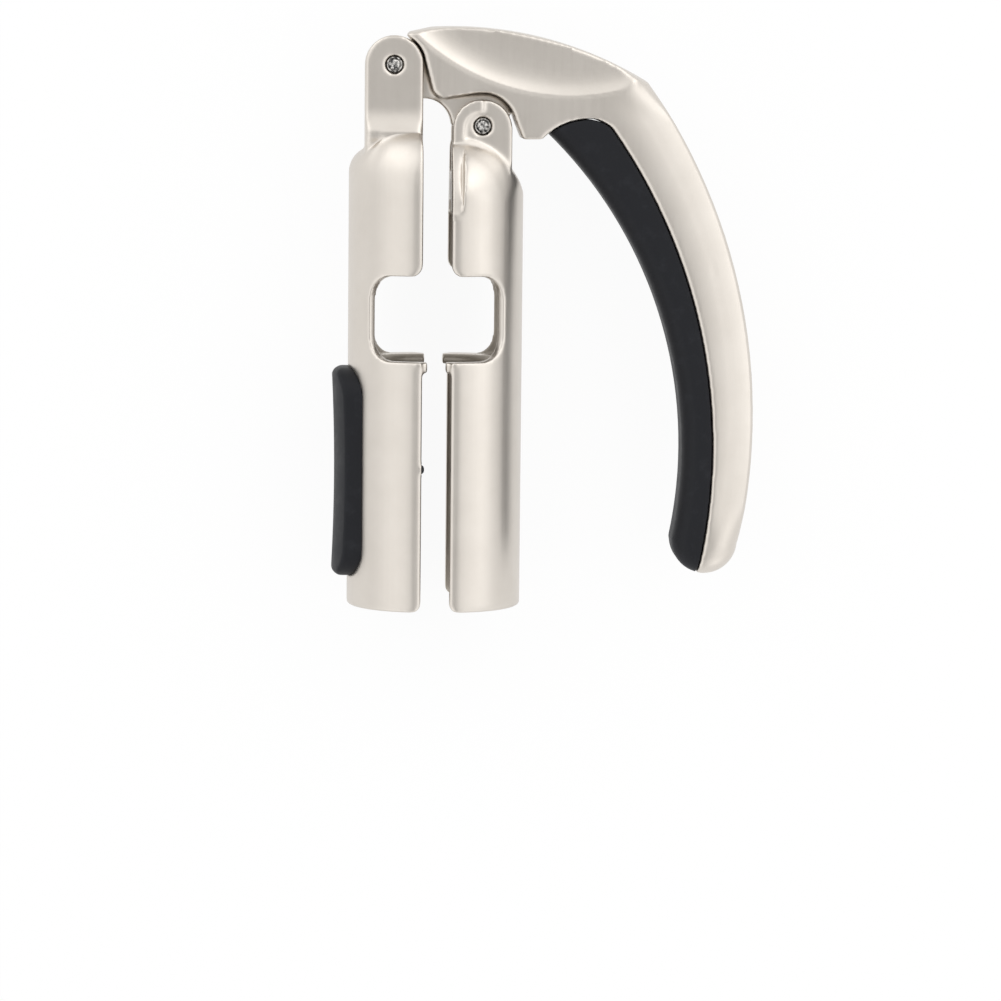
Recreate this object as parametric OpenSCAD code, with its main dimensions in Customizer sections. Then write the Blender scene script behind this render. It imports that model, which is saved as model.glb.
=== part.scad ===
// Lever champagne opener, lying on its side as it does on a table.
// X runs from the palm jaw towards the lever, Y up the bottle neck to the pivots, Z along the pivot pins.
// The origin lies on the bore axis of the fixed jaw, at its mouth.

/* [Jaws] */
// Outer radius of each half tube
jaw_r = 18.2; // [17:0.1:20]
// Wall of each half tube
jaw_wall = 2.2; // [1.8:0.1:2.6]
// Distance between the two bore axes
jaw_spread = 5.6; // [5:0.1:8]
// Distance from a bore axis back to its parting face
parting_cut = 0.6; // [0.3:0.1:1]
// Radius of the parting corners at the mouth
mouth_corner_r = 2.2; // [1:0.1:4]
// Rounding of the outer edge of the mouth
mouth_edge_r = 0.8; // [0.3:0.1:1]
// Height of the fixed jaw's shoulder above the mouth
fixed_shoulder_y = 104.5; // [100:0.1:108]
// Rounding of the fixed jaw's shoulder
fixed_dome_r = 6.2; // [4:0.1:8]
// Radius of the hollow in which the fixed jaw's ears rise from the shoulder
fixed_root_r = 3.8; // [2:0.1:5]
// Height of the sliding jaw's shoulder above the mouth
sliding_shoulder_y = 101.5; // [97:0.1:103]
// Rounding of the sliding jaw's shoulder
sliding_dome_r = 10; // [8:0.1:12]
// Radius of the sliding jaw's shoulder in the front view
sliding_crown_r = 18.4; // [17:0.1:21]
// Height of the top of that round above the mouth
sliding_crown_y = 112.8; // [111:0.1:114]
// Width of the flat beside each parting face
parting_flat = 2.1; // [1:0.1:3]
// Corner radius of that flat below the window
flat_corner_r = 1.8; // [1:0.1:2.5]
// Thickness of the roof under the fixed jaw's slot
fixed_roof_t = 3; // [2:0.1:4]
// Thickness of the roof under the sliding jaw's slot
sliding_roof_t = 7; // [6.5:0.1:8]

/* [Window] */
// Height of the lower edge of the window above the mouth
window_y = 60; // [55:0.1:65]
// Height of the window
window_h = 20.3; // [16:0.1:24]
// Depth of the window behind the bore axis
window_depth = 13.2; // [11:0.1:14.5]
// Radius of the window's outer corners
window_corner_r = 6; // [2:0.1:8]
// Radius of the parting corner above the window
upper_lip_r = 2.9; // [1:0.1:4]
// Radius of the parting corner below the window
lower_lip_r = 1; // [0.5:0.1:2]
// Bore radius of the cork ledge
ledge_r = 12.8; // [11:0.1:14]
// Thickness of the cork ledge
ledge_t = 2.6; // [2:0.1:4]
// Chamfer on the cork ledge's upper edge
ledge_chamfer = 1; // [0.4:0.1:1.6]
// Reach of the ledge's ends past the parting face
ledge_reach = 1.2; // [0.4:0.1:1.3]

/* [Pivots] */
// Position of the lever pivot from the origin
lever_pivot = [-7.5, 130.2]; // [-10:0.1:135]
// Position of the jaw pivot from the lever pivot
jaw_pivot_step = [21.1, -14.4]; // [-20:0.1:25]
// Radius of the fixed jaw's ears
fixed_ear_r = 6.95; // [6:0.05:7.5]
// Radius of the sliding jaw's ears
sliding_ear_r = 7.1; // [6:0.05:7.5]
// Drop of the round of the sliding jaw's ears below the pivot
sliding_ear_drop = 0.8; // [0:0.1:1.2]
// Span over the outer faces of the ears
ear_span = 16.8; // [15:0.1:20]
// Thickness of each ear
ear_t = 3.2; // [2.5:0.1:4]
// Height of the raised rim on the sliding jaw's ears
rim_h = 0.7; // [0.3:0.1:1.2]
// Width of the rim on the parting side
rim_w = 2.6; // [1.5:0.1:3.5]
// Height at which the rim's ramp starts above the mouth
ramp_y = 98; // [97:0.1:100]
// Radius of the pivot pins
pin_r = 2.2; // [1.8:0.05:2.6]
// Depth of a pin's end below the ear's face
pin_sink = 0.3; // [0.1:0.1:0.6]
// Radius of the dimple in a pin's end
dimple_r = 1.1; // [0.6:0.1:1.5]

/* [Lever] */
// Width of the lever over its flanks
lever_w = 18; // [16:0.1:22]
// Highest point of the head, from the lever pivot
head_top = [14.6, 9.3]; // [5:0.1:20]
// Radius of the arc along the top of the head
head_top_r = 89.7; // [80:0.1:100]
// Crown radius across the top of the head
head_crown_r = 30; // [15:0.5:45]
// Middle of the arm's back, from the lever pivot
arm_mid = [84.1, -56.2]; // [-60:0.1:90]
// Direction in which the back faces there
arm_turn = 12; // [10:0.1:14]
// Radius of the arc along the arm's back
arm_back_r = 139.1; // [125:0.1:155]
// Rounding of the arm's back edges
arm_edge_r = 6; // [2:0.1:8]
// Drop of the arm's rounded end below the lever pivot
arm_drop = 114; // [100:0.5:118]
// Depth of the metal in the middle of the arm
arm_depth = 11.5; // [10:0.1:13]
// Direction in which the seam between metal and grip faces there
seam_turn = 14.8; // [13:0.1:16]
// Radius of the seam
seam_r = 133.1; // [120:0.1:145]
// Lowest point of the crease below the scooped flank, from the lever pivot
scoop_low = [41.6, -7.3]; // [-10:0.1:45]
// Radius of the crease
scoop_r = 53.4; // [48:0.1:58]
// Depth of the scoop below the flank
scoop_depth = 4.4; // [2:0.1:5.5]
// Radius of the scoop's hollow
scoop_hollow_r = 13; // [10:0.1:20]
// Thin end of the head beside the fixed ear, from the lever pivot
head_nose = [3.2, 7.8]; // [0:0.1:10]
// Slope of the head's top beside that end
nose_turn = 13; // [10:0.5:18]
// Lower tip of the head's flank, from the jaw pivot
head_tip = [9.9, -3.1]; // [-6:0.1:12]
// Direction in which the tip's underside meets the grip's upper end
tip_turn = 134; // [130:1:138]
// Direction of the shelf's end, seen from the jaw pivot
shelf_turn = 105; // [100:1:110]
// Fall of the shelf from its end to the step beside the fixed ear
shelf_fall = 1.6; // [1:0.1:2.5]
// Radius of the corner between shelf and step
step_corner_r = 3; // [2:0.1:4]
// Radius of the notch between the two lugs
lug_notch_r = 6.4; // [5:0.1:7]
// Start of the notch, right of the lever pivot
lug_notch_x = 0.9; // [0:0.1:2]

/* [Grip] */
// Depth of the grip in the middle of the arm
grip_depth = 8.3; // [7:0.1:10]
// Direction in which the grip's inner curve lies there
grip_turn = 17.8; // [16:0.1:19]
// Radius of the grip's inner curve
grip_r = 105.2; // [95:0.1:118]
// Drop of the grip's upper end below the lever pivot
grip_top_drop = 12.4; // [11:0.1:14]
// Radius of the upper end on the inner side
grip_top_r = 15; // [13:0.1:18]
// Radius of the upper end towards the seam
grip_corner_r = 8; // [5:0.1:11]
// Rounding of the grip's inner edges
grip_edge_r = 4.5; // [2:0.1:6]
// Set back of the grip from each flank
grip_inset = 0.4; // [0.1:0.1:1]
// Depth of the tongue that seats in the arm
tongue_depth = 3.5; // [2:0.1:5]
// Width of the tongue
tongue_w = 9; // [6:0.1:11]

/* [Palm pad] */
// Height of the pad's lower edge above the mouth
pad_y = 7.3; // [4:0.1:10]
// Length of the pad along the jaw
pad_len = 50.4; // [40:0.1:52]
// Thickness of the pad over the jaw
pad_t = 3.9; // [2:0.1:5]
// Depth of the seat sunk into the jaw
pad_seat = 0.6; // [0.2:0.1:1]
// Width of the pad across the jaw
pad_w = 21; // [14:0.1:24]
// Corner radius of the pad's outline
pad_corner_r = 7; // [2:0.1:9]
// Rounding of the pad's outer edges
pad_edge_r = 2.2; // [1:0.1:3]
// Hollow of the pad's outer face
pad_waist = 0.7; // [0:0.1:1.2]

/* [Bumpers] */
// Height of the closing bumpers above the mouth
bumper_y = 34.4; // [20:0.1:50]
// Radius of a bumper's dome
bumper_r = 1.05; // [0.8:0.05:1.1]
// Radius of a bumper's stem
bumper_stem_r = 0.6; // [0.4:0.05:0.8]
// Length of a bumper's stem
bumper_stem = 2.4; // [1.5:0.1:4]

/* [Motion and fits] */
// Turn of the lever from rest to the squeeze stop
squeeze_deg = 14; // [10:0.5:14]
// Running clearance of a pin in the lug
pin_clear = 0.04; // [0.02:0.01:0.08]
// Side clearance between lug and ear
ear_clear = 0.2; // [0.1:0.05:0.4]
// Clearance between the lever's step and the fixed ears
step_clear = 0.5; // [0.4:0.05:0.7]
// Clearance between the lever's step and the sliding ears
jaw_clear = 0.8; // [0.6:0.05:1]
// Free swing of the sliding jaw's ears in the lever
jaw_swing = 22; // [16:1:26]
// Room under a lug in the slot between the ears
slot_clear = 4.5; // [4.2:0.1:5]
// Clearance of the tongue in its channel
seat_clear = 0.1; // [0.05:0.01:0.2]

/* [Hidden] */
$fn = 96;

// Reach of cutters that go right through, overlap of those that stop just past a face
far = 200;
over = 1;
// Rounds that end in a face or a side cross it by this much, at a flat angle
blend = 0.1;
nickel = [0.84, 0.81, 0.77];
steel = [0.72, 0.72, 0.73];
rubber = [0.13, 0.14, 0.15];

bore_r = jaw_r - jaw_wall;
jaw_pivot = lever_pivot + jaw_pivot_step;
// The pivots seen from each jaw's own bore axis, with that jaw lying on the side of negative X
fixed_eye = lever_pivot;
sliding_eye = [jaw_spread - jaw_pivot[0], jaw_pivot[1]];
sliding_ear_c = sliding_eye - [0, sliding_ear_drop];
ear_face = ear_span / 2;
ear_inner = ear_face - ear_t;
lug_half = ear_inner - ear_clear;
flank = lever_w / 2;
lug_r = min(fixed_ear_r, sliding_ear_r) - step_clear;
// Floor of the slot between the ears, clear of the turning lug
slot_drop = lug_r + slot_clear;

// Height of the flats beside the parting faces
flat_z = sqrt(pow(jaw_r, 2) - pow(parting_cut + parting_flat, 2));

// Arcs of the head and arm, each through its own named point
function toward(a) = [cos(a), sin(a)];
head_top_c = head_top - [0, head_top_r];
scoop_c = scoop_low + [0, scoop_r];
arm_back_c = arm_mid - arm_back_r * toward(arm_turn);
seam_c = arm_mid - arm_depth * toward(arm_turn) - seam_r * toward(seam_turn);
grip_c = arm_mid - (arm_depth + grip_depth) * toward(arm_turn) - grip_r * toward(grip_turn);
// The grip's upper corner rounds the top of the seam
corner_reach = seam_r - grip_corner_r + blend;
corner_turn = asin((-grip_top_drop - grip_corner_r - seam_c[1]) / corner_reach);
grip_corner_c = seam_c + corner_reach * toward(corner_turn);
grip_top_c = [grip_corner_c[0], -grip_top_drop - blend - grip_top_r];
function arc_x(c, r, y) = c[0] + sqrt(r * r - (y - c[1]) * (y - c[1]));
arm_end_out = arc_x(arm_back_c, arm_back_r, -arm_drop);
arm_end_in = arc_x(grip_c, grip_r, -arm_drop);
arm_end_lean = asin((arm_drop + arm_back_c[1]) / arm_back_r);
arm_end_r = (arm_end_out - arm_end_in) / 2 * cos(arm_end_lean);
arm_end_c = [(arm_end_out + arm_end_in) / 2, -arm_drop];
scoop_ring_r = scoop_r - sqrt(pow(scoop_hollow_r, 2) - pow(scoop_hollow_r - scoop_depth, 2));
grip_half = flank - grip_inset;

// Points of an arc that rounds the corner b between a and c
function unit(v) = v / norm(v);
function corner(a, b, c, r, steps = 8) =
    let (u = unit(a - b), v = unit(c - b), half = acos(u * v) / 2,
         centre = b + unit(u + v) * r / sin(half),
         from = b + u * r / tan(half) - centre, to = b + v * r / tan(half) - centre,
         a0 = atan2(from[1], from[0]), turn = atan2(to[1], to[0]) - a0,
         sweep = turn > 180 ? turn - 360 : turn < -180 ? turn + 360 : turn)
    [for (i = [0 : steps]) centre + r * [cos(a0 + sweep * i / steps), sin(a0 + sweep * i / steps)]];

// Rectangle from lo to hi with true round corners
module rounded_rect(lo, hi, r) {
    translate([lo[0] + r, lo[1]]) square([hi[0] - lo[0] - 2 * r, hi[1] - lo[1]]);
    translate([lo[0], lo[1] + r]) square([hi[0] - lo[0], hi[1] - lo[1] - 2 * r]);
    for (x = [lo[0] + r, hi[0] - r], y = [lo[1] + r, hi[1] - r])
        translate([x, y]) circle(r);
}

module disc(c, r) {
    translate(c) circle(r);
}

// Extrusion along Z, evenly to both sides
module slab(w) {
    translate([0, 0, -w / 2]) linear_extrude(w) children();
}

// Revolution about the neck axis: the profile's x is the radius, its y the height
module about_neck() {
    rotate([-90, 0, 0]) rotate_extrude() children();
}

// Extrusion along X of a profile drawn in Y and Z
module along_x(x0, x1) {
    translate([x0, 0, 0]) rotate([90, 0, 90]) linear_extrude(x1 - x0) children();
}

// Copies in front and behind
module both_faces() {
    children();
    mirror([0, 0, 1]) children();
}

// Jaws

module jaw_profile(r, shoulder_y, dome_r, inset) {
    square([r - inset, shoulder_y]);
    square([r - dome_r, shoulder_y + dome_r - inset]);
    intersection() {
        translate([r - dome_r, shoulder_y]) circle(dome_r - inset);
        translate([0, shoulder_y]) square(far);
    }
}

module jaw_tube(shoulder_y, dome_r) {
    about_neck() difference() {
        jaw_profile(jaw_r, shoulder_y, dome_r, 0);
        // Rounded outer edge of the mouth
        translate([jaw_r - mouth_edge_r, 0]) difference() {
            square(2 * mouth_edge_r, center = true);
            translate([0, mouth_edge_r]) circle(mouth_edge_r);
            translate([-2 * mouth_edge_r, -far / 2]) square([2 * mouth_edge_r, far]);
        }
    }
}

module jaw_cavity(shoulder_y, dome_r, roof_y) {
    about_neck() intersection() {
        translate([0, -over]) square([far, roof_y + over]);
        union() {
            translate([0, -over]) square([bore_r, 2 * over]);
            jaw_profile(jaw_r, shoulder_y, dome_r, jaw_wall);
        }
    }
}

module ear_outline(eye, r) {
    disc(eye, r);
    translate([eye[0] - r, eye[1] - far]) square([2 * r, far]);
}

// Corner that is taken off where a parting face meets a horizontal edge at height y
module parting_corner(y, r, up) {
    translate([-parting_cut, y]) mirror([0, up ? 0 : 1]) difference() {
        translate([-r, -r]) square([2 * r, 2 * r]);
        translate([-r, r]) circle(r);
        translate([-3 * r, -far]) square([2 * r, 2 * far]);
    }
}

// Window in front and behind, with its sides square to the wall
module window_cut() {
    both_faces() rotate([0, -asin(window_depth / jaw_r), 0]) linear_extrude(far)
        rounded_rect([0, window_y], [far, window_y + window_h], window_corner_r);
    slab(2 * far) {
        parting_corner(window_y + window_h - blend, upper_lip_r, true);
        parting_corner(window_y + blend, lower_lip_r, false);
    }
}

module cork_ledge() {
    top = window_y - blend;
    root = bore_r + jaw_wall / 2;
    intersection() {
        about_neck() polygon([
            [ledge_r, window_y - ledge_t], [ledge_r, top - ledge_chamfer],
            [ledge_r + ledge_chamfer, top], [root, top], [root, window_y - ledge_t]]);
        translate([-far, 0, -far / 2]) cube([far - parting_cut + ledge_reach, far, far]);
    }
}

// Flats on the outside of the wall beside the parting face, front and back
module parting_flats() {
    edge = -parting_cut - parting_flat - blend;
    both_faces() translate([0, 0, flat_z]) linear_extrude(far) {
        rounded_rect([edge, -far], [far, window_y - lower_lip_r], flat_corner_r);
        translate([edge, window_y + window_h / 2]) square(far);
    }
}

// Hollowed foot of a pair of ears on a shoulder whose top lies at top_y
module ear_root(eye, ear_r, shoulder_y, top_y, root_r) {
    reach = ear_face + root_r;
    foot_y = top_y - over / 2;
    intersection() {
        slab(far) ear_outline(eye, ear_r);
        about_neck() square([norm([eye[0] - ear_r / 2, ear_face]), far]);
        along_x(-far, far) difference() {
            translate([shoulder_y, -reach]) square([foot_y + root_r - shoulder_y, 2 * reach]);
            for (z = [-reach, reach])
                disc([foot_y + root_r, z], root_r);
        }
    }
}

// Half tube with two ears, on the side of negative X of its bore axis; children add to its outside
module half_jaw(eye, ear_c, ear_r, shoulder_y, dome_r, roof_t, rim) {
    roof_y = min(shoulder_y + dome_r, eye[1] - slot_drop) - roof_t;
    difference() {
        union() {
            difference() {
                union() {
                    jaw_tube(shoulder_y, dome_r);
                    children();
                    intersection() {
                        slab(ear_span + 2 * rim) ear_outline(ear_c, ear_r);
                        translate([-far / 2, shoulder_y - jaw_wall, -far / 2]) cube(far);
                    }
                }
                jaw_cavity(shoulder_y, dome_r, roof_y);
                window_cut();
                slab(2 * far) parting_corner(0, mouth_corner_r, true);
                translate([-parting_cut, -over, -far / 2]) cube(far);
                parting_flats();
            }
            cork_ledge();
        }
        // Slot for the lug
        translate([-far / 2, eye[1] - slot_drop, -ear_inner]) cube([far, far, 2 * ear_inner]);
        // Bores for the pin
        translate([eye[0], eye[1], -far / 2]) cylinder(r = pin_r, h = far);
    }
}

// The pad's outline, seen from its side of the jaw
module pad_outline() {
    rounded_rect([pad_y, -pad_w / 2], [pad_y + pad_len, pad_w / 2], pad_corner_r);
}

module pad_recess() {
    intersection() {
        about_neck() translate([jaw_r - pad_seat, pad_y]) square([far, pad_len]);
        along_x(-far, 0) pad_outline();
    }
}

module fixed_jaw() {
    color(nickel) difference() {
        half_jaw(fixed_eye, fixed_eye, fixed_ear_r, fixed_shoulder_y, fixed_dome_r, fixed_roof_t, 0)
            ear_root(fixed_eye, fixed_ear_r, fixed_shoulder_y, fixed_shoulder_y + fixed_dome_r, fixed_root_r);
        pad_recess();
        for (z = [-1, 1])
            translate([-parting_cut - bumper_stem, bumper_y, z * (jaw_r - jaw_wall / 2)])
                rotate([0, 90, 0]) cylinder(r = bumper_stem_r, h = far);
    }
}

module sliding_jaw() {
    crown_c = [-parting_cut, sliding_crown_y - sliding_crown_r];
    face_r = sliding_ear_r - rim_w;
    ramp_top = [sliding_shoulder_y + sliding_dome_r, ear_face + rim_h];
    // Point of the ramp's line well outside the wall
    ramp_out = 2 * [ramp_y, flat_z] - ramp_top;
    color(nickel) translate([jaw_spread, 0, 0]) mirror([1, 0, 0]) difference() {
        half_jaw(sliding_eye, sliding_ear_c, sliding_ear_r, sliding_shoulder_y, sliding_dome_r,
                 sliding_roof_t, rim_h);
        // Round of the shoulder in the front view, outside the ears
        slab(far) difference() {
            translate([-far, crown_c[1]]) square(far);
            disc(crown_c, sliding_crown_r);
            ear_outline(sliding_ear_c, sliding_ear_r);
        }
        // Ear faces, sunk below the rim down to the shoulder's round
        both_faces() translate([0, 0, ear_face]) linear_extrude(far) difference() {
            union() {
                disc(sliding_ear_c, face_r);
                translate([sliding_ear_c[0] - far, crown_c[1]])
                    square([far + face_r, sliding_ear_c[1] - crown_c[1]]);
                translate(sliding_ear_c - [far, over]) square(far);
            }
            disc(crown_c, sliding_crown_r);
        }
        // Ramp that carries the rim down the parting side of the shoulder
        both_faces() along_x(-parting_cut - rim_w, far)
            polygon([ramp_out, ramp_top, [far, ramp_top[1]], [far, far], [ramp_out[0], far]]);
    }
}

module palm_pad() {
    waist_r = (pad_len * pad_len / 4 + pad_waist * pad_waist) / (2 * max(pad_waist, 0.01));
    outer = jaw_r + pad_t;
    color(rubber) intersection() {
        about_neck() difference() {
            rounded_rect([jaw_r - pad_seat - pad_edge_r, pad_y], [outer, pad_y + pad_len], pad_edge_r);
            translate([0, pad_y - over]) square([jaw_r - pad_seat, pad_len + 2 * over]);
            translate([outer - pad_waist + waist_r, pad_y + pad_len / 2]) circle(waist_r, $fn = 360);
        }
        along_x(-far, 0) pad_outline();
    }
}

module closing_bumpers() {
    color(rubber) for (z = [-1, 1])
        translate([-parting_cut, bumper_y, z * (jaw_r - jaw_wall / 2)]) rotate([0, 90, 0]) {
            intersection() {
                sphere(bumper_r);
                cylinder(r = 2 * bumper_r, h = 2 * bumper_r);
            }
            translate([0, 0, -bumper_stem]) cylinder(r = bumper_stem_r, h = bumper_stem);
        }
}

// Pivot pins

module pivot_pin(at) {
    half = ear_face - pin_sink;
    translate(at) rotate_extrude() difference() {
        translate([0, -half]) square([pin_r, 2 * half]);
        for (y = [-1, 1]) {
            translate([0, y * half]) circle(dimple_r, $fn = 48);
            // Rolled edge
            translate([pin_r, y * half]) rotate(45) square(pin_sink * sqrt(2), center = true);
        }
    }
}

module fixed_pivot_pin() {
    color(steel) pivot_pin(lever_pivot);
}

module sliding_pivot_pin() {
    color(steel) pivot_pin(jaw_pivot);
}

// Lever, drawn from its pivot

// Space of radius r that an ear takes beside the lug, from rest to the end of its swing
module ear_room(eye, r, swing) {
    half = r - blend;
    disc(eye, r);
    for (turn = [0, swing])
        translate(eye) rotate(turn) translate([-half, -far]) square([2 * half, far]);
}

// The seam and the outline of the grip's upper end, with all that lies inside them
module grip_bed() {
    intersection() {
        disc(seam_c, seam_r);
        union() {
            disc(grip_corner_c, grip_corner_r);
            intersection() {
                disc(grip_top_c, grip_top_r);
                translate([grip_corner_c[0] - far, -far / 2]) square(far);
            }
            polygon([grip_corner_c, grip_corner_c + 2 * grip_corner_r * toward(corner_turn), [far, -arm_drop],
                     [grip_c[0], -arm_drop], [grip_c[0], grip_corner_c[1]]]);
        }
    }
}

// The rubber's area in the front view
module grip_outline() {
    difference() {
        grip_bed();
        disc(grip_c, grip_r);
    }
}

// Solid of revolution about an arc's centre, with rounded outer edges
module arc_body(c, r, edge_r, half) {
    translate(c) rotate_extrude($fn = 360) intersection() {
        translate([0, -half]) square([r, 2 * half]);
        rounded_rect([-r, -half], [r, half], edge_r);
    }
}

module arm_end(half, edge_r) {
    arc_body(arm_end_c, arm_end_r, min(edge_r, arm_end_r - over), half);
}

module head_crown() {
    translate(head_top_c) rotate_extrude($fn = 360) {
        translate([0, -flank]) square([head_top_r - head_crown_r, 2 * flank]);
        intersection() {
            translate([head_top_r - head_crown_r, 0]) circle(head_crown_r);
            translate([0, -flank]) square([far, 2 * flank]);
        }
    }
}

module head_outline() {
    step_r = fixed_ear_r + step_clear;
    // The step beside the fixed ear stands where that ear's side comes at the squeeze stop
    side = toward(squeeze_deg);
    along = toward(squeeze_deg - 90);
    start = (step_r - blend / 2) * side;
    shelf = jaw_pivot_step + (sliding_ear_r + jaw_clear + blend) * toward(shelf_turn);
    reach = (step_r * side[1] - shelf[1] + shelf_fall) / -along[1];
    heel = step_r * side + along * reach;
    tip_root = grip_top_c + (grip_top_r - over) * toward(tip_turn);
    difference() {
        polygon(concat(
            [head_nose + far * toward(nose_turn), head_nose, [head_nose[0], 0], start],
            corner(start, heel, shelf, step_corner_r),
            [shelf, jaw_pivot_step, jaw_pivot_step + head_tip, tip_root,
             grip_top_c, [far, grip_top_c[1]]]));
        ear_room([0, 0], fixed_ear_r + step_clear, squeeze_deg);
        ear_room(jaw_pivot_step, sliding_ear_r + jaw_clear, jaw_swing);
        grip_bed();
    }
}

module arm_outline() {
    difference() {
        translate([0, -arm_drop]) square([far, arm_drop]);
        disc(seam_c, seam_r);
    }
}

module lug_outline() {
    notch_c = [lug_notch_x + lug_notch_r, jaw_pivot_step[1]];
    bridge = [2 * lug_r, lug_r / 2];
    difference() {
        union() {
            disc([0, 0], lug_r);
            disc(jaw_pivot_step, lug_r);
            polygon([[0, lug_r], bridge, jaw_pivot_step + [lug_r, lug_r], jaw_pivot_step + [lug_r, 0],
                     jaw_pivot_step, notch_c, notch_c + [0, lug_notch_r - over], [0, -lug_r]]);
        }
        disc(notch_c, lug_notch_r);
    }
}

module tongue_outline(clear) {
    intersection() {
        difference() {
            disc(seam_c, seam_r + tongue_depth + clear);
            disc(seam_c, seam_r - jaw_wall);
        }
        translate([0, -arm_drop + arm_end_r - clear])
            square([far, arm_drop - 2 * arm_end_r + grip_top_c[1] + 2 * clear]);
    }
}

module lever() {
    color(nickel) translate(lever_pivot) difference() {
        union() {
            intersection() {
                head_crown();
                arc_body(arm_back_c, arm_back_r, arm_edge_r, flank);
                slab(2 * flank) union() {
                    head_outline();
                    arm_outline();
                }
            }
            intersection() {
                arm_end(flank, arm_edge_r);
                slab(2 * flank) difference() {
                    translate([0, -2 * arm_drop]) square([far, arm_drop + 2 * over]);
                    disc(seam_c, seam_r);
                }
            }
            slab(2 * lug_half) lug_outline();
        }
        // Scooped flanks of the head
        both_faces() translate([scoop_c[0], scoop_c[1], flank - scoop_depth + scoop_hollow_r])
            rotate_extrude($fn = 180) translate([scoop_ring_r, 0]) circle(scoop_hollow_r);
        slab(tongue_w + 2 * seat_clear) tongue_outline(seat_clear);
        for (eye = [[0, 0], jaw_pivot_step])
            translate([eye[0], eye[1], -far / 2]) cylinder(r = pin_r + pin_clear, h = far);
    }
}

module lever_grip() {
    color(rubber) translate(lever_pivot) {
        intersection() {
            translate(grip_c) rotate_extrude($fn = 360) {
                translate([grip_r + grip_edge_r, -grip_half]) square([far, 2 * grip_half]);
                translate([grip_r, grip_edge_r - grip_half]) square([far, 2 * (grip_half - grip_edge_r)]);
                for (y = [-1, 1])
                    translate([grip_r + grip_edge_r, y * (grip_half - grip_edge_r)]) circle(grip_edge_r);
            }
            slab(2 * grip_half) grip_outline();
        }
        intersection() {
            arm_end(grip_half - blend, grip_edge_r);
            slab(2 * grip_half) intersection() {
                translate([0, -2 * arm_drop]) square([far, arm_drop + 2 * over]);
                disc(seam_c, seam_r);
            }
        }
        slab(tongue_w) tongue_outline(0);
    }
}

fixed_jaw();
palm_pad();
closing_bumpers();
fixed_pivot_pin();
lever();
lever_grip();
sliding_jaw();
sliding_pivot_pin();
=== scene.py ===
"""The looks of the champagne opener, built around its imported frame."""

import math

import bmesh
import bpy
from mathutils import Euler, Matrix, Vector

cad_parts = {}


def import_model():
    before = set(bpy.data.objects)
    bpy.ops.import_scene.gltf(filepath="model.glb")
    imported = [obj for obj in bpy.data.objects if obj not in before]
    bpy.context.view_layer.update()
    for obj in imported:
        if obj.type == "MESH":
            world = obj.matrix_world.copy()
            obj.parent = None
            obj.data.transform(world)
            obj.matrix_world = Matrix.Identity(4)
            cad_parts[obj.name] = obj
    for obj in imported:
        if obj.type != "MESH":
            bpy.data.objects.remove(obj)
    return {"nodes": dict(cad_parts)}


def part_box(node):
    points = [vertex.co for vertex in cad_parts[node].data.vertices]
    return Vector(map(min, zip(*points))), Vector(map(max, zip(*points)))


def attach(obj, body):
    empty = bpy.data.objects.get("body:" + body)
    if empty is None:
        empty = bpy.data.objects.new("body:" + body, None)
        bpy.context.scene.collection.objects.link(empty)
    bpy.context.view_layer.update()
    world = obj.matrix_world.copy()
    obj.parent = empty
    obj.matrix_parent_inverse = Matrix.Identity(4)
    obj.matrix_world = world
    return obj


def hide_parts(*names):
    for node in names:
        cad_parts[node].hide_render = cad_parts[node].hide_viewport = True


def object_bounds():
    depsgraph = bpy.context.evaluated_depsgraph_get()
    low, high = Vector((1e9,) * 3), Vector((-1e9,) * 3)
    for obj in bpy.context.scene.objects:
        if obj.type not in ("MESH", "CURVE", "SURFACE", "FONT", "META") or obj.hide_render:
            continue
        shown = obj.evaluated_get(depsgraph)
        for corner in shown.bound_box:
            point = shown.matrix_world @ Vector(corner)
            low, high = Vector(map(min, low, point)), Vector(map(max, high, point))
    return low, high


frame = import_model()
cad_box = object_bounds()

# Lengths are in mm where they stand bare, unless a comment says metres, and in metres where they are times MM
MM = 0.001

# Camera of the photograph, in the part's own frame, with its near and far limits in metres
CAMERA_EYE = (-21.7 * MM, 129.9 * MM, 950 * MM)
CAMERA_TURN_DEG = (-6.306, -2.394, 0.559)
CAMERA_LENS_MM = 141.7
CAMERA_SENSOR_MM = 36.0
CAMERA_LIMITS = (0.01, 20.0)

# Cells that a piece is rebuilt from, and the smoothing passes that then round its edges
CAST_CELL = 0.43 * MM
CAST_PASSES = 6
RUBBER_CELL = 0.4 * MM
RUBBER_PASSES = 6
BUMPER_CELL = 0.08 * MM
BUMPER_PASSES = 2
PASS_SHARE = 0.5        # how far one pass moves a point towards the middle of its neighbours
JOIN = 0.001 * MM       # a solid's corners that lie nearer than this are joined first

# Zones where a casting's forms run softly into each other, on its front and on its back: the centre and the
# reach along x, y and z, and the passes
FIXED_SOFT = ((-7.5, 112.0, 10.5), (12.0, 7.0, 5.0), 44)
SLIDING_SOFT = ((9.2, 105.0, 13.0), (2.5, 12.0, 7.0), 33)
LEVER_SOFT = ((50.5, 125.5, 7.5), (5.5, 5.0, 4.5), 33)
SOFT_FADE = 0.5         # outer share of the reach, where a zone fades out

# Fillet that carries the outer faces of the fixed jaw's ears out to the shoulder
EAR_FACE = 8.4          # depth of those faces
FILLET_TOP = 120.5      # along y
FILLET_FOOT = 114.2     # along y
FILLET_HEIGHT = 2.0     # at the foot
FILLET_POWER = 1.7      # of its hollow
FILLET_UNDER = 2.0      # how far it runs on under the foot
FILLET_INSIDE = 2.2     # how far inside the faces it starts
FILLET_GROWTH = 2.0     # depth over which it grows from there

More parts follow.
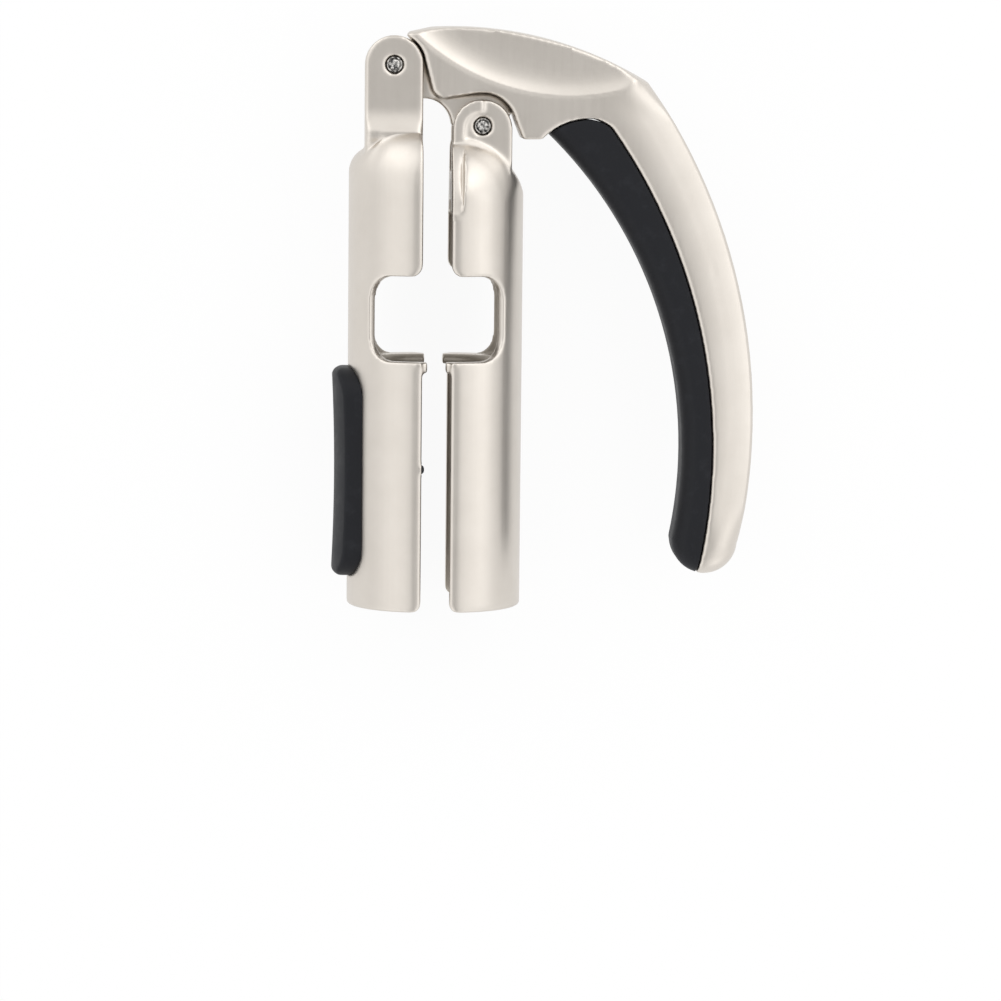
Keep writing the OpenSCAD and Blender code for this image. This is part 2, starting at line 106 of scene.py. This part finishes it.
# Rise of the fixed shoulder's rim under the ears. A pair is where the rise is nought and where it is full.
SHOULDER_RISE = 3.6
RISE_DEPTH = (5.2, 12.5)
RISE_X = (-18.2, -8.0)
RISE_FOOT_Y = (99.0, 111.0)
RISE_TOP_Y = (118.0, 112.0)

# Drop of both shoulders' rounds in front and behind, with pairs of the same kind
SHOULDER_DROP = 3.5
DROP_DEPTH = (6.0, 13.0)
DROP_FOOT_Y = (88.0, 100.0)
DROP_TOP_Y = (112.0, 102.0)

# Lean of both shoulders' rounds towards their rims
FIXED_LEAN = 3.0
SLIDING_LEAN = 1.6
LEAN_START = 99.0       # along y
LEAN_END = 113.5        # along y
LEAN_POWER = 1.7        # of its growth between them
LEAN_FADE = 5.0         # distance over which it fades, above its end and towards the ears' faces

# The arm as its solid has it
ARM_BACK_C = (-59.46, 45.08)    # centre of the back arc
ARM_BACK_R = 139.1              # radius of the back arc
ARM_METAL = 11.5                # depth of the metal in from the back
ARM_HALF = 9.0                  # half of the arm's width
ARM_CAD_EDGE = 6.0              # radius of the back edges

# Crown of the arm's flanks
ARM_CROWN = 2.2                 # how far a flank has fallen at the back
ARM_BEND = 2.0                  # power of its bend
ARM_EDGE = 1.0                  # radius of the back edges that show
CROWN_TOP_Y = (126.0, 117.0)    # where it is nought and full at the arm's upper end
CROWN_FOOT_Y = (14.0, 26.0)     # and at the lower end

# The jaws' bore, and its faces that get a darker colour as painted shade and a rougher finish
BORE_R = 16.0
FIXED_BORE_X = 0.0              # the axis along x in each jaw
SLIDING_BORE_X = 5.6
BORE_TOP = 103.0                # height where those faces end
BORE_SKIN = 0.4                 # how far outside the radius they may lie
BORE_LEAN = 0.3                 # their least lean towards the axis

# The sliding jaw's outer radius, and the start along y and the radius of its shoulder's round
JAW_R = 18.2
ROUND_START = 101.5
ROUND_R = 10.0

# The strip that runs down the sliding shoulder, and how it is filled
STRIP_X = (5.8, 9.6)
STRIP_Y = (96.5, 114.0)
STRIP_FILL = 0.6                # share of its depth that is filled
STRIP_EDGE = 0.6                # half of the width over which its edge is eased
STRIP_OVER = 0.3                # how far over the ears' faces the filling starts
STRIP_FADE = 3.0                # length over which it fades at the top
STRIP_LEAN = 0.5                # outward lean at which a place is filled in full

# Thumb scoop on the head's flanks, as its solid has it
SCOOP_C = (34.1, 176.3)         # centre of its ring
SCOOP_RING = 43.65              # radius of its ring
SCOOP_HALF = 9.75               # half of its width
SCOOP_HOLLOW = 13.0             # radius of its hollow
SCOOP_DEPTH = 4.4               # depth of its hollow
# The scoop that shows
SCOOP_SEEN = 1.65               # its depth
SCOOP_POWER = 2.9               # of its rise to the rim
SCOOP_UNDER = (2.0, 0.2)        # depths under the solid's hollow between which the change comes in

# The fixed jaw's parting face, and the share of a bumper's height that shows over it
PARTING_X = -0.6 * MM
BUMPER_SHARE = 0.6

# Gap that the grip leaves along its seam
GRIP_SINK = 0.22 * MM

# Rivet end from its rim inwards, as radius and height: a groove round the rim and a dished, peened middle
RIVET_END = [(2.2, 6.6), (2.19, 6.95), (1.94, 6.95), (1.9, 7.8), (1.84, 7.98), (1.74, 8.06), (1.62, 8.02),
             (1.54, 7.86), (1.48, 7.55), (1.4, 7.5), (1.3, 7.66), (1.05, 7.74), (0.78, 7.8), (0.5, 7.82),
             (0.24, 7.83)]
RIVET_SIDES = 72
# Waves that the peening leaves, each with its height, count and turn
PEEN_WAVES = [(0.16, 3, 0.6), (0.10, 5, -1.1)]
PEEN_CORE = 0.8                 # radius under which they shrink towards the middle
PEEN_END = 1.46                 # radius where they have faded out

# Colours as linear values
NICKEL = (0.70, 0.655, 0.60)
NICKEL_DARK = (0.665, 0.62, 0.565)
# The bore's colours, darker than the nickel's as painted shade
INSIDE_PAINTED_SHADE = (0.46, 0.42, 0.37)
INSIDE_PAINTED_SHADE_DARK = (0.36, 0.325, 0.28)
RUBBER = (0.0075, 0.0082, 0.011)
RUBBER_WORN = (0.016, 0.017, 0.021)
PIN_BRIGHT = (0.72, 0.70, 0.67)
# Near black for the low spots of the rivets' dents: painted shade
PIN_PAINTED_SHADE = (0.07, 0.07, 0.07)
PALE = (0.9, 0.9, 0.9, 1.0)
WHITE = (1.0, 1.0, 1.0, 1.0)

# Marks of the finishes in cells per metre, with the brush lines drawn out along y, and the noise levels that
# each one's range of colour or roughness spreads over
BRUSH_CELLS = (2600.0, 31.2, 2600.0)
CLOUD_CELLS = 90.0
CLOUD_LEVELS = (0.35, 0.7)
CAST_GRAIN_CELLS = 5200.0
CAST_LEVELS = (0.6, 1.4)
RUBBER_GRAIN_CELLS = 2600.0
DUST_CELLS = 240.0
DUST_LEVELS = (0.52, 0.78)
DENT_CELLS = 1400.0
DENT_SHADE_LEVELS = (0.40, 0.60)
ROUGH_LEVELS = (0.3, 0.7)

# Ranges of roughness, the rubber's shine, and each finish's relief as strength and height
NICKEL_ROUGH = (0.31, 0.40)
INSIDE_ROUGH = (0.43, 0.52)
RUBBER_ROUGH = (0.48, 0.62)
PIN_ROUGH = (0.16, 0.3)
RUBBER_SHINE = 0.25
NICKEL_RELIEF = (0.05, 0.02 * MM)
RUBBER_RELIEF = (0.3, 0.06 * MM)
PIN_RELIEF = (0.35, 0.2 * MM)

# Light of the tent, as half levels: over the sideways lean of a direction, and over its lean from the arm's
# end (0) to the head (1)
SIDES = [(0.0, 0.19), (0.1, 0.23), (0.22, 0.43), (0.35, 0.55), (0.6, 0.60), (0.8, 0.58), (0.9, 0.53),
         (1.0, 0.44)]
ENDS = [(0.0, 0.14), (0.075, 0.12), (0.175, 0.0), (0.62, 0.0), (0.7, 0.06), (0.79, 0.27), (0.87, 0.28),
        (0.94, 0.2), (1.0, 0.1)]
TENT_GAIN = 2.0                 # from half levels to full ones

# Two soft panels, in metres and watts
PANELS = {"head_panel": (0.5, 0.75, 0.75), "lever_panel": (0.8, 0.15, 0.5)}
PANEL_TARGET = (0.02, 0.07, 0.0)
PANEL_SIZE = (0.5, 0.4)
PANEL_WATTS = 0.3

# Floor: half of its side in metres, its gap under the part, and how much of it shows plain white
FLOOR_HALF = 6.0
FLOOR_GAP = 0.3 * MM
FLOOR_WHITE = 0.93


# Materials

class Nodes:
    """A short way to write the nodes of a material or of the world."""

    def __init__(self, owner, empty=False):
        owner.use_nodes = True
        self.tree = owner.node_tree
        if empty:
            self.tree.nodes.clear()

    def fill(self, node, inputs):
        """Sets a node's inputs, each to a value or to another node's output."""
        for key, value in inputs.items():
            if isinstance(value, bpy.types.NodeSocket):
                self.tree.links.new(value, node.inputs[key])
            else:
                node.inputs[key].default_value = value

    def add(self, kind, inputs=None, **settings):
        node = self.tree.nodes.new(kind)
        for key, value in settings.items():
            setattr(node, key, value)
        self.fill(node, inputs or {})
        return node

    def surface(self, inputs):
        """Sets the inputs of a new material's own shader."""
        self.fill(self.tree.nodes["Principled BSDF"], inputs)

    def calculate(self, operation, *values):
        return self.add("ShaderNodeMath", dict(enumerate(values)), operation=operation).outputs[0]

    def noise(self, place, scale, detail, roughness=0.5):
        return self.add("ShaderNodeTexNoise", {
            "Vector": place, "Scale": scale, "Detail": detail, "Roughness": roughness}).outputs["Fac"]

    def stretched(self, place, stretch):
        return self.add("ShaderNodeMapping", {"Vector": place, "Scale": stretch}).outputs["Vector"]

    def ramp(self, value, levels, to=(0.0, 1.0)):
        """Carries a value over from between two levels to between two others."""
        return self.add("ShaderNodeMapRange", {
            "Value": value, "From Min": levels[0], "From Max": levels[1],
            "To Min": to[0], "To Max": to[1]}).outputs["Result"]

    def mix(self, share, first, second):
        """A mix of two colours, which are inputs 6 and 7 and output 2 of its node."""
        inputs = {0: share, 6: (*first, 1.0), 7: (*second, 1.0)}
        return self.add("ShaderNodeMix", inputs, data_type="RGBA").outputs[2]

    def bump(self, height, strength, distance):
        return self.add("ShaderNodeBump", {
            "Height": height, "Strength": strength, "Distance": distance}).outputs["Normal"]

    def curve(self, value, points):
        """A smooth line through points, read at a value."""
        node = self.add("ShaderNodeFloatCurve", {"Value": value})
        line = node.mapping.curves[0]
        line.points[0].location = points[0]
        line.points[1].location = points[-1]
        for place in points[1:-1]:
            line.points.new(*place)
        for point in line.points:
            point.handle_type = "AUTO_CLAMPED"
        node.mapping.update()
        return node.outputs["Value"]


def satin_nickel(name, light, dark, rough):
    """Brushed and satin plated die casting, with cloudy tone and fine grain."""
    material = bpy.data.materials.new(name)
    nodes = Nodes(material)
    place = nodes.add("ShaderNodeTexCoord").outputs["Object"]
    brush = nodes.noise(nodes.stretched(place, BRUSH_CELLS), 1.0, detail=2.0)
    cloud = nodes.noise(place, CLOUD_CELLS, detail=4.0, roughness=0.6)
    grain = nodes.noise(place, CAST_GRAIN_CELLS, detail=1.0)
    marks = nodes.calculate("ADD", brush, grain)
    nodes.surface({
        "Base Color": nodes.mix(nodes.ramp(cloud, CLOUD_LEVELS), light, dark),
        "Metallic": 1.0,
        "Roughness": nodes.ramp(marks, CAST_LEVELS, rough),
        "Normal": nodes.bump(marks, *NICKEL_RELIEF)})
    return material


def soft_rubber(name):
    """Matt moulded rubber with a fine spark-eroded grain and faint handling marks."""
    material = bpy.data.materials.new(name)
    nodes = Nodes(material)
    place = nodes.add("ShaderNodeTexCoord").outputs["Object"]
    grain = nodes.noise(place, RUBBER_GRAIN_CELLS, detail=2.0)
    dust = nodes.noise(place, DUST_CELLS, detail=5.0, roughness=0.7)
    nodes.surface({
        "Base Color": nodes.mix(nodes.ramp(dust, DUST_LEVELS), RUBBER, RUBBER_WORN),
        "Roughness": nodes.ramp(dust, ROUGH_LEVELS, RUBBER_ROUGH),
        "Specular IOR Level": RUBBER_SHINE,
        "Normal": nodes.bump(grain, *RUBBER_RELIEF)})
    return material


def pin_steel(name):
    """Bright rivet steel, hammered rough at its ends, and darker in the low spots of its dents as painted
    shade.
    """
    material = bpy.data.materials.new(name)
    nodes = Nodes(material)
    place = nodes.add("ShaderNodeTexCoord").outputs["Object"]
    dents_and_shade = nodes.noise(place, DENT_CELLS, detail=3.0, roughness=0.6)
    nodes.surface({
        # Nearly black where the dents lie low: painted shade
        "Base Color": nodes.mix(nodes.ramp(dents_and_shade, DENT_SHADE_LEVELS), PIN_PAINTED_SHADE, PIN_BRIGHT),
        "Metallic": 1.0,
        "Roughness": nodes.ramp(dents_and_shade, ROUGH_LEVELS, PIN_ROUGH),
        "Normal": nodes.bump(dents_and_shade, *PIN_RELIEF)})
    return material


# Ways to make and shape a piece

def add_object(name, data):
    thing = bpy.data.objects.new(name, data)
    bpy.context.scene.collection.objects.link(thing)
    return thing


def mesh_object(name, bm):
    """A piece that takes over a mesh under construction."""
    mesh = bpy.data.meshes.new(name)
    bm.to_mesh(mesh)
    bm.free()
    return add_object(name, mesh)


def apply_modifiers(piece):
    graph = bpy.context.evaluated_depsgraph_get()
    before = piece.data
    done = bpy.data.meshes.new_from_object(piece.evaluated_get(graph))
    piece.modifiers.clear()
    piece.data = done
    bpy.data.meshes.remove(before)
    done.name = piece.name


def rebuilt(name, sources, cell, passes):
    """One piece made from copies of nodes, with its edges rounded as a casting's or a moulding's are."""
    bm = bmesh.new()
    for node in sources:
        bm.from_mesh(frame["nodes"][node].data)
    bmesh.ops.remove_doubles(bm, verts=bm.verts, dist=JOIN)
    piece = mesh_object(name, bm)
    cells = piece.modifiers.new("cells", "REMESH")
    cells.mode = "VOXEL"
    cells.voxel_size = cell
    cells.use_smooth_shade = True
    soften = piece.modifiers.new("soften", "SMOOTH")
    soften.factor = PASS_SHARE
    soften.iterations = passes
    apply_modifiers(piece)
    return piece


def dress(piece, node, body, material):
    """Puts a piece in a node's place, on its body and in its material."""
    piece.data.materials.clear()
    piece.data.materials.append(material)
    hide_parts(node)
    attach(piece, body)


def in_mm(vertex):
    """A vertex's x and y, and its depth from the mid-plane."""
    return vertex.co.x / MM, vertex.co.y / MM, abs(vertex.co.z) / MM


def set_depth(vertex, depth):
    """Moves a vertex to a depth on its own side of the mid-plane."""
    vertex.co.z = math.copysign(depth * MM, vertex.co.z)


def ease(value, nought, full):
    """A smooth step from 0 to 1 between two values, in either order."""
    share = min(1.0, max(0.0, (value - nought) / (full - nought)))
    return share * share * (3 - 2 * share)


def corner_drop(depth, r):
    """How far a rounded edge has fallen away at a depth from the back."""
    return r - math.sqrt(r * r - max(0.0, r - depth) ** 2)


def soften_zone(piece, centre, reach, passes):
    """Runs the forms near a point into each other, fading out towards the zone's rim."""
    group = piece.vertex_groups.new(name="soft")
    for vertex in piece.data.vertices:
        offsets = [(at - middle) / size for at, middle, size in zip(in_mm(vertex), centre, reach)]
        away = Vector(offsets).length
        if away < 1:
            group.add([vertex.index], min(1.0, (1 - away) / SOFT_FADE), "REPLACE")
    blend = piece.modifiers.new("blend", "SMOOTH")
    blend.factor = PASS_SHARE
    blend.iterations = passes
    blend.vertex_group = group.name
    apply_modifiers(piece)
    piece.vertex_groups.clear()


# Shapes of the jaws

def level_pockets(mesh):
    """Cuts what fills the bumpers' pockets level with the parting face."""
    low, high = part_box("closing_bumpers")
    for vertex in mesh.vertices:
        if low.y - CAST_CELL < vertex.co.y < high.y + CAST_CELL:
            vertex.co.x = min(vertex.co.x, PARTING_X)


def raise_shoulder(mesh):
    """Draws the shoulder's rim up under the ears, where the casting bulges over their roots."""
    for vertex in mesh.vertices:
        x, y, depth = in_mm(vertex)
        share = ease(depth, *RISE_DEPTH) * ease(x, *RISE_X) * ease(y, *RISE_FOOT_Y) * ease(y, *RISE_TOP_Y)
        vertex.co.y += SHOULDER_RISE * share * MM


def lower_shoulder(mesh):
    """Starts the shoulder's round lower on a jaw's front and back than at its side."""
    for vertex in mesh.vertices:
        y, depth = in_mm(vertex)[1:]
        share = ease(depth, *DROP_DEPTH) * ease(y, *DROP_FOOT_Y) * ease(y, *DROP_TOP_Y)
        vertex.co.y -= SHOULDER_DROP * share * MM


def lean_shoulder(mesh, amount):
    """Draws the round of a shoulder in towards its rim."""
    for vertex in mesh.vertices:
        y, depth = in_mm(vertex)[1:]
        if y < LEAN_START:
            continue
        growth = min(1.0, (y - LEAN_START) / (LEAN_END - LEAN_START)) ** LEAN_POWER
        share = growth * ease(y, LEAN_END + LEAN_FADE, LEAN_END)
        set_depth(vertex, depth - amount * share * ease(depth, EAR_FACE, EAR_FACE + LEAN_FADE))


def raise_ear_roots(mesh):
    """Lifts the ears' outer faces towards the shoulder, as a tall fillet."""
    inner = EAR_FACE - FILLET_INSIDE
    outer = EAR_FACE + FILLET_HEIGHT
    for vertex in mesh.vertices:
        y, depth = in_mm(vertex)[1:]
        if not FILLET_FOOT - FILLET_UNDER < y < FILLET_TOP or not inner < depth < outer:
            continue
        rise = FILLET_HEIGHT * ((FILLET_TOP - y) / (FILLET_TOP - FILLET_FOOT)) ** FILLET_POWER
        share = min(1.0, (depth - inner) / FILLET_GROWTH)
        set_depth(vertex, max(depth, min(depth + rise * share, outer)))


def fill_strip(mesh):
    """Brings the strip on the sliding shoulder nearly up to the shoulder's round."""
    edge = (STRIP_X[0] - STRIP_EDGE, STRIP_X[0] + STRIP_EDGE)
    top = (STRIP_Y[1], STRIP_Y[1] - STRIP_FADE)
    # The normals are read before the first vertex moves
    leans = [vertex.normal.z for vertex in mesh.vertices]
    for vertex, lean in zip(mesh.vertices, leans):
        x, y, depth = in_mm(vertex)
        outward = lean * math.copysign(1, vertex.co.z)
        within = edge[0] < x < STRIP_X[1] and STRIP_Y[0] < y < STRIP_Y[1]
        if not within or depth < EAR_FACE + STRIP_OVER or outward < 0:
            continue
        over = min(max(0.0, y - ROUND_START), ROUND_R)
        reach = JAW_R - ROUND_R + math.sqrt(ROUND_R ** 2 - over ** 2)
        full = math.sqrt(max(0.0, reach ** 2 - (x - SLIDING_BORE_X) ** 2))
        share = ease(y, *top) * ease(outward, 0.0, STRIP_LEAN) * ease(x, *edge)
        set_depth(vertex, depth + STRIP_FILL * share * max(0.0, full - depth))


def paint_bore_shade(piece, axis_x, material):
    """Gives the bore's faces a second material, whose darker colour is painted shade and whose finish is
    rougher.
    """
    piece.data.materials.append(material)
    # The bore's faces take the material whose darker colour is painted shade
    for face in piece.data.polygons:
        x, y, z = face.center
        across = x - axis_x * MM
        away = math.hypot(across, z)
        inward = face.normal.x * across + face.normal.z * z < -BORE_LEAN * away
        if y < BORE_TOP * MM and away < (BORE_R + BORE_SKIN) * MM and inward:
            face.material_index = 1


# Shapes of the lever

def crown_arm(mesh):
    """Turns the arm's flat flanks into one long curve from the rubber to the back."""
    for vertex in mesh.vertices:
        x, y = in_mm(vertex)[:2]
        depth = max(0.0, ARM_BACK_R - math.hypot(x - ARM_BACK_C[0], y - ARM_BACK_C[1]))
        share = ease(y, *CROWN_TOP_Y) * ease(y, *CROWN_FOOT_Y)
        if share == 0 or depth > ARM_METAL:
            continue
        cad = ARM_HALF - corner_drop(depth, ARM_CAD_EDGE)
        crowned = ARM_HALF - ARM_CROWN * (1 - depth / ARM_METAL) ** ARM_BEND - corner_drop(depth, ARM_EDGE)
        vertex.co.z *= 1 + share * (crowned / cad - 1)


def flatten_scoop(mesh):
    """Gives the scoop a flat middle and a steep rim."""
    start, end = SCOOP_UNDER
    for vertex in mesh.vertices:
        x, y, depth = in_mm(vertex)
        away = math.hypot(x - SCOOP_C[0], y - SCOOP_C[1]) - SCOOP_RING
        if abs(away) > SCOOP_HALF:
            continue
        cut = ARM_HALF - SCOOP_DEPTH + SCOOP_HOLLOW - math.sqrt(SCOOP_HOLLOW ** 2 - away ** 2)
        seen = ARM_HALF - SCOOP_SEEN * (1 - (abs(away) / SCOOP_HALF) ** SCOOP_POWER)
        set_depth(vertex, depth + (seen - cut) * ease(depth, cut - start, cut - end))


# Pieces

def fixed_jaw(nickel, inside):
    """Half-tube casting whose ears carry the lever, with the bumpers' pockets closed."""
    piece = rebuilt("fixed_jaw_casting", ["fixed_jaw", "closing_bumpers"], CAST_CELL, CAST_PASSES)
    level_pockets(piece.data)
    raise_shoulder(piece.data)
    lower_shoulder(piece.data)
    lean_shoulder(piece.data, FIXED_LEAN)
    raise_ear_roots(piece.data)
    soften_zone(piece, *FIXED_SOFT)
    dress(piece, "fixed_jaw", "fixed_side", nickel)
    paint_bore_shade(piece, FIXED_BORE_X, inside)


def sliding_jaw(nickel, inside):
    """Half-tube casting that hangs on the lever."""
    piece = rebuilt("sliding_jaw_casting", ["sliding_jaw"], CAST_CELL, CAST_PASSES)
    fill_strip(piece.data)
    lower_shoulder(piece.data)
    lean_shoulder(piece.data, SLIDING_LEAN)
    soften_zone(piece, *SLIDING_SOFT)
    dress(piece, "sliding_jaw", "sliding_side", nickel)
    paint_bore_shade(piece, SLIDING_BORE_X, inside)


def lever(nickel):
    """Casting with the lug, the scooped head and the curved arm."""
    piece = rebuilt("lever_casting", ["lever"], CAST_CELL, CAST_PASSES)
    crown_arm(piece.data)
    flatten_scoop(piece.data)
    soften_zone(piece, *LEVER_SOFT)
    dress(piece, "lever", "lever_arm", nickel)


def lever_grip(rubber):
    """Insert of the arm, drawn in all round so that a narrow seam shows beside it."""
    piece = rebuilt("lever_grip_moulding", ["lever_grip"], RUBBER_CELL, RUBBER_PASSES)
    places = [tuple(vertex.co - vertex.normal * GRIP_SINK) for vertex in piece.data.vertices]
    for vertex, place in zip(piece.data.vertices, places):
        vertex.co = place
    dress(piece, "lever_grip", "lever_arm", rubber)


def palm_pad(rubber):
    """Pad on the back of the fixed jaw."""
    piece = rebuilt("palm_pad_moulding", ["palm_pad"], RUBBER_CELL, RUBBER_PASSES)
    dress(piece, "palm_pad", "fixed_side", rubber)


def closing_bumpers(rubber):
    """Two pips in the fixed jaw's parting faces, with low domes."""
    piece = rebuilt("bumper_domes", ["closing_bumpers"], BUMPER_CELL, BUMPER_PASSES)
    for vertex in piece.data.vertices:
        if vertex.co.x > PARTING_X:
            vertex.co.x = PARTING_X + BUMPER_SHARE * (vertex.co.x - PARTING_X)
    dress(piece, "closing_bumpers", "fixed_side", rubber)


def peen(r, turn):
    """How far the hammer has left a rivet's end up or down at a radius and a turn."""
    wave = sum(height * math.cos(count * turn + shift) for height, count, shift in PEEN_WAVES)
    return wave * min(1.0, r / PEEN_CORE) * max(0.0, 1 - r / PEEN_END)


def pivot_pin(node, body, steel):
    """Rivet with a groove and a peened dish at each end."""
    low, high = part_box(node)
    centre = (low + high) / 2
    turns = [2 * math.pi * k / RIVET_SIDES for k in range(RIVET_SIDES)]
    bm = bmesh.new()
    rings = []
    for side, profile in ((-1, RIVET_END[::-1]), (1, RIVET_END)):
        for r, z in profile:
            ring = []
            for turn in turns:
                x = centre.x + r * MM * math.cos(turn)
                y = centre.y + r * MM * math.sin(turn)
                ring.append(bm.verts.new((x, y, side * (z + peen(r, turn)) * MM)))
            rings.append(ring)
    for ring, above in zip(rings, rings[1:]):
        for k in range(RIVET_SIDES):
            after = (k + 1) % RIVET_SIDES
            bm.faces.new((ring[k], ring[after], above[after], above[k]))
    bm.faces.new(rings[0][::-1])
    bm.faces.new(rings[-1])
    for face in bm.faces:
        face.smooth = True
    dress(mesh_object(node + "_rivet", bm), node, body, steel)


# Camera, light and floor

def camera():
    data = bpy.data.cameras.new("camera")
    data.lens = CAMERA_LENS_MM
    data.sensor_width = CAMERA_SENSOR_MM
    data.clip_start, data.clip_end = CAMERA_LIMITS
    eye = add_object("camera", data)
    eye.location = CAMERA_EYE
    eye.rotation_euler = Euler([math.radians(a) for a in CAMERA_TURN_DEG])
    bpy.context.scene.camera = eye


def soft_panel(name, place):
    """A rectangular lamp that is turned to the opener."""
    data = bpy.data.lights.new(name, "AREA")
    data.shape = "RECTANGLE"
    data.size, data.size_y = PANEL_SIZE
    data.energy = PANEL_WATTS
    lamp = add_object(name, data)
    lamp.location = place
    lamp.rotation_euler = (Vector(PANEL_TARGET) - Vector(place)).to_track_quat("-Z", "Y").to_euler()


def pale_floor():
    """Nearly plain white to the camera and in reflections, with a pale floor's light and shadow under it."""
    material = bpy.data.materials.new("pale_floor")
    nodes = Nodes(material, empty=True)
    rays = nodes.add("ShaderNodeLightPath").outputs
    seen = nodes.calculate("MAXIMUM", rays["Is Camera Ray"], rays["Is Glossy Ray"])
    seen = nodes.calculate("MAXIMUM", seen, rays["Is Transmission Ray"])
    share = nodes.calculate("MULTIPLY", seen, FLOOR_WHITE)
    shade = nodes.add("ShaderNodeBsdfDiffuse", {"Color": PALE}).outputs[0]
    white = nodes.add("ShaderNodeEmission", {"Color": WHITE, "Strength": 1.0}).outputs[0]
    both = nodes.add("ShaderNodeMixShader", {0: share, 1: shade, 2: white}).outputs[0]
    nodes.add("ShaderNodeOutputMaterial", {"Surface": both})
    return material


def floor():
    mesh = bpy.data.meshes.new("floor")
    level = cad_box[0][2] - FLOOR_GAP
    signs = [(-1, -1), (1, -1), (1, 1), (-1, 1)]
    mesh.from_pydata([(a * FLOOR_HALF, b * FLOOR_HALF, level) for a, b in signs], [], [(0, 1, 2, 3)])
    mesh.materials.append(pale_floor())
    plane = add_object("floor", mesh)


def world():
    """A light tent: dim overhead, bright round the sides and beyond the head of the opener."""
    sky = bpy.data.worlds.new("world")
    bpy.context.scene.world = sky
    nodes = Nodes(sky, empty=True)
    direction = nodes.add("ShaderNodeTexCoord").outputs["Generated"]
    lean = nodes.add("ShaderNodeSeparateXYZ", {"Vector": direction}).outputs
    sides = nodes.curve(nodes.calculate("ABSOLUTE", lean["X"]), SIDES)
    ends = nodes.curve(nodes.ramp(lean["Y"], (-1.0, 1.0)), ENDS)
    level = nodes.calculate("MULTIPLY", nodes.calculate("ADD", sides, ends), TENT_GAIN)
    light = nodes.add("ShaderNodeBackground", {"Color": WHITE, "Strength": level}).outputs[0]
    nodes.add("ShaderNodeOutputWorld", {"Surface": light})


satin = satin_nickel("satin_nickel_upright", NICKEL, NICKEL_DARK, NICKEL_ROUGH)
# The bore's material: its darker colour is painted shade, and its finish is rougher
inside_painted_shade = satin_nickel("satin_nickel_inside_painted_shade", INSIDE_PAINTED_SHADE, INSIDE_PAINTED_SHADE_DARK, INSIDE_ROUGH)
black = soft_rubber("soft_rubber")
bright = pin_steel("pin_steel")

fixed_jaw(satin, inside_painted_shade)
sliding_jaw(satin, inside_painted_shade)
lever(satin)
lever_grip(black)
palm_pad(black)
closing_bumpers(black)
pivot_pin("fixed_pivot_pin", "fixed_side", bright)
pivot_pin("sliding_pivot_pin", "sliding_side", bright)

camera()
floor()
world()
for panel, spot in PANELS.items():
    soft_panel(panel, spot)
bpy.context.scene.view_settings.view_transform = "Standard"
